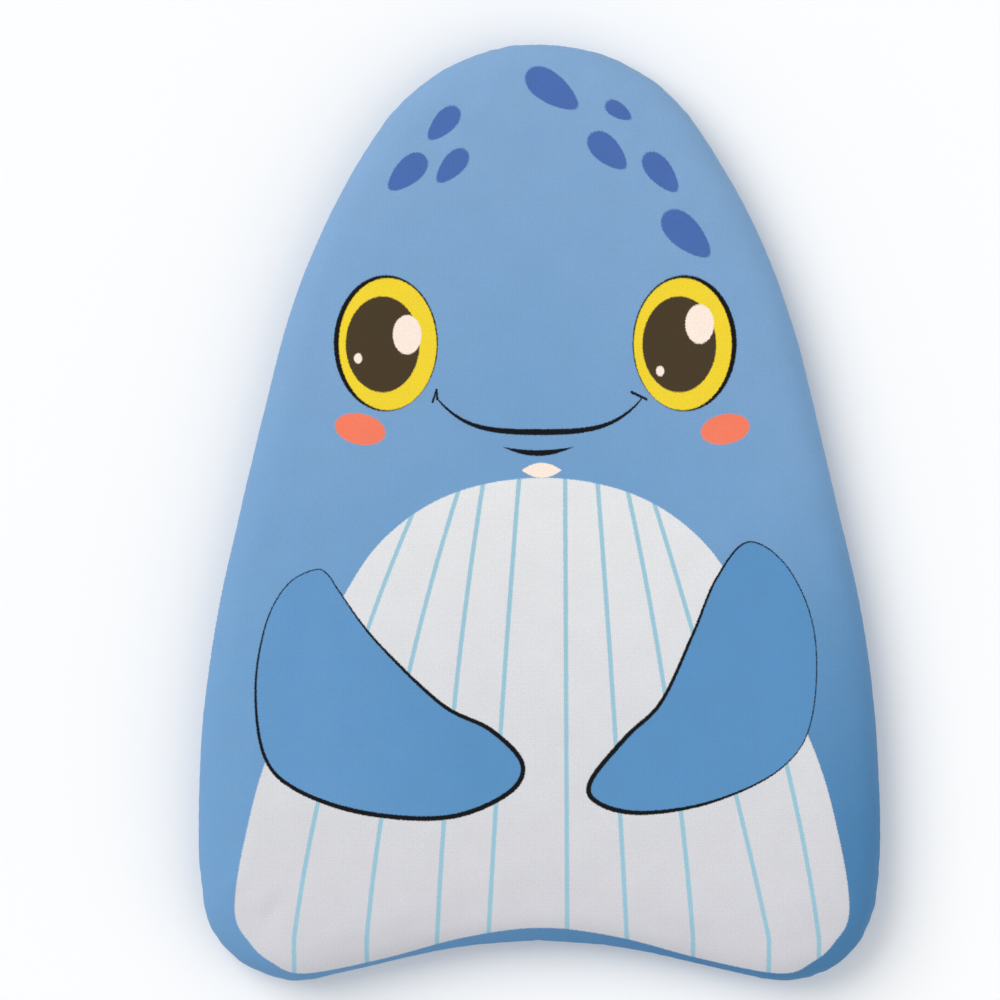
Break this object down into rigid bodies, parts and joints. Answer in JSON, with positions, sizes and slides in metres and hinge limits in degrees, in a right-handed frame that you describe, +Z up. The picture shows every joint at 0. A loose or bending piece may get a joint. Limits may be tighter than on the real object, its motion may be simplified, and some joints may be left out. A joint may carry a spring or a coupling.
{
  "type": "kickboard float",
  "caption": "Child's swimming kickboard: a bullet-shaped foam board with a round nose and notched tail, in a sewn cloth cover printed with a whale.",
  "frame": {"origin": "on the floor under the middle of the board, which lies on its plain back", "axes": "+Y along the board to the nose, +X across it, +Z up out of the printed face"},
  "size_m": [0.32, 0.44, 0.032],
  "materials": {
    "printed_cloth": "fine weave with a printed picture, soft sheen",
    "plain_cloth": "fine plain weave, matt",
    "sewing_thread": "twisted polyester, slight sheen",
    "lining_foam": "soft open-cell foam",
    "core_foam": "closed-cell foam, matt"
  },
  "bodies": {
    "root": {"core_plank_back": "core_foam", "core_plank_middle": "core_foam", "core_plank_front": "core_foam", "front_lining": "lining_foam", "back_lining": "lining_foam", "front_cover": "printed_cloth", "back_cover": "plain_cloth", "rim_seam_thread": "sewing_thread", "overlock_thread": "sewing_thread", "closing_stitches": "sewing_thread"}
  },
  "joints": []
}
